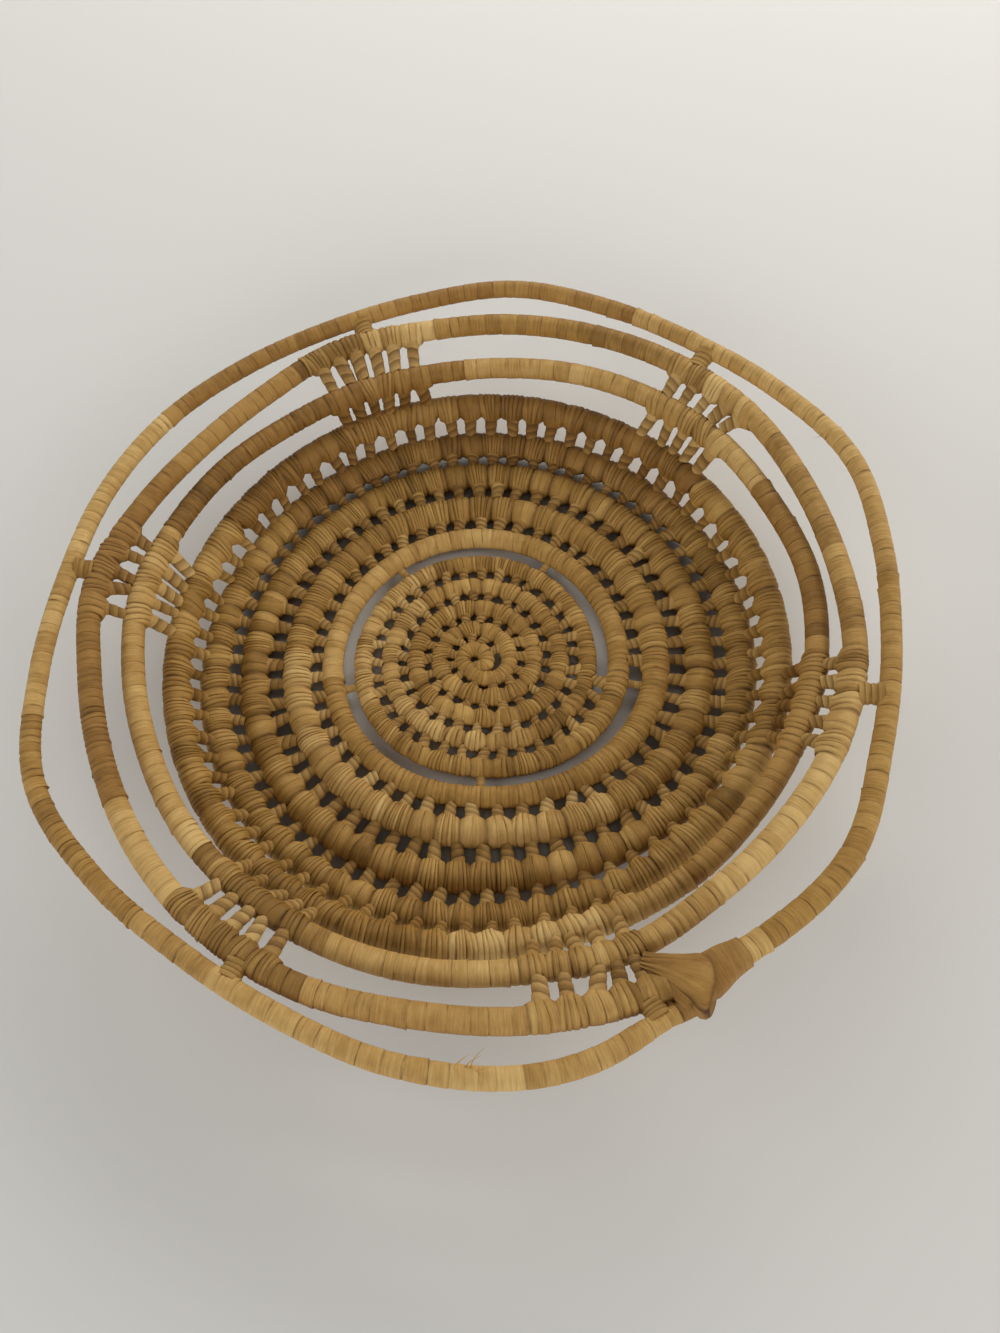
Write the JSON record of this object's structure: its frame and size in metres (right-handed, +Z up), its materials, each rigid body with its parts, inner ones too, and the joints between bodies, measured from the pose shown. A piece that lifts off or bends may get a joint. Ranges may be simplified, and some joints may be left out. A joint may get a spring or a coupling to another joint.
{
  "type": "coiled basket tray",
  "caption": "Round open-work basket tray of wrapped coil: a flat stitched base with a medallion, a low flared wall, open hoops and a wavy rim. Holds fruit or bread.",
  "frame": {"origin": "centre of the coil, on the surface that the basket stands on", "axes": "+Z up, out of the bowl; -Y towards the side with the knot that binds the end of the coil; +X to the right of it"},
  "size_m": [0.3202, 0.3187, 0.0515],
  "materials": {
    "leaf_straw": "matt dried palm leaf, straw yellow",
    "leaf_tan": "matt dried palm leaf, tan",
    "leaf_brown": "matt dried palm leaf, brown",
    "stems": "dry grass stems"
  },
  "bodies": {
    "root": {"core_coil": "stems", "medallion_row_1_strip_1": "leaf_tan", "medallion_row_2_strip_1": "leaf_tan", "medallion_row_3_strip_1": "leaf_tan", "medallion_row_4_strip_1": "leaf_tan", "medallion_row_4_strip_2": "leaf_straw", "medallion_row_5_strip_1": "leaf_tan", "medallion_row_5_strip_2": "leaf_straw", "medallion_row_5_strip_3": "leaf_tan", "base_row_1_strip_1": "leaf_tan", "base_row_1_strip_2": "leaf_straw", "base_row_1_strip_3": "leaf_tan", "base_row_2_strip_1": "leaf_tan", "base_row_2_strip_2": "leaf_tan", "base_row_2_strip_3": "leaf_straw", "base_row_3_strip_1": "leaf_tan", "base_row_3_strip_2": "leaf_tan", "base_row_3_strip_3": "leaf_tan", "base_row_3_strip_4": "leaf_tan", "wall_row_1_strip_1": "leaf_tan", "wall_row_1_strip_2": "leaf_brown", "wall_row_1_strip_3": "leaf_tan", "wall_row_1_strip_4": "leaf_tan", "wall_row_2_strip_1": "leaf_tan", "wall_row_2_strip_2": "leaf_brown", "wall_row_2_strip_3": "leaf_brown", "wall_row_2_strip_4": "leaf_tan", "wall_row_2_strip_5": "leaf_tan", "wall_row_2_strip_6": "leaf_straw", "lower_hoop_strip_1": "leaf_brown", "lower_hoop_strip_2": "leaf_straw", "lower_hoop_strip_3": "leaf_brown", "lower_hoop_strip_4": "leaf_straw", "lower_hoop_strip_5": "leaf_straw", "lower_hoop_strip_6": "leaf_straw", "upper_hoop_strip_1": "leaf_straw", "upper_hoop_strip_2": "leaf_tan", "upper_hoop_strip_3": "leaf_straw", "upper_hoop_strip_4": "leaf_brown", "upper_hoop_strip_5": "leaf_straw", "upper_hoop_strip_6": "leaf_straw", "rim_hoop_strip_1": "leaf_tan", "rim_hoop_strip_2": "leaf_straw", "rim_hoop_strip_3": "leaf_brown", "rim_hoop_strip_4": "leaf_straw", "rim_hoop_strip_5": "leaf_tan", "rim_hoop_strip_6": "leaf_straw", "medallion_tie_1": "leaf_tan", "medallion_tie_2": "leaf_tan", "medallion_tie_3": "leaf_tan", "medallion_tie_4": "leaf_tan", "medallion_tie_5": "leaf_tan", "rim_tie_1": "leaf_tan", "rim_tie_2": "leaf_tan", "rim_tie_3": "leaf_tan", "rim_tie_4": "leaf_tan", "rim_tie_5": "leaf_tan", "rim_tie_6": "leaf_tan", "end_knot": "leaf_brown"}
  },
  "joints": []
}
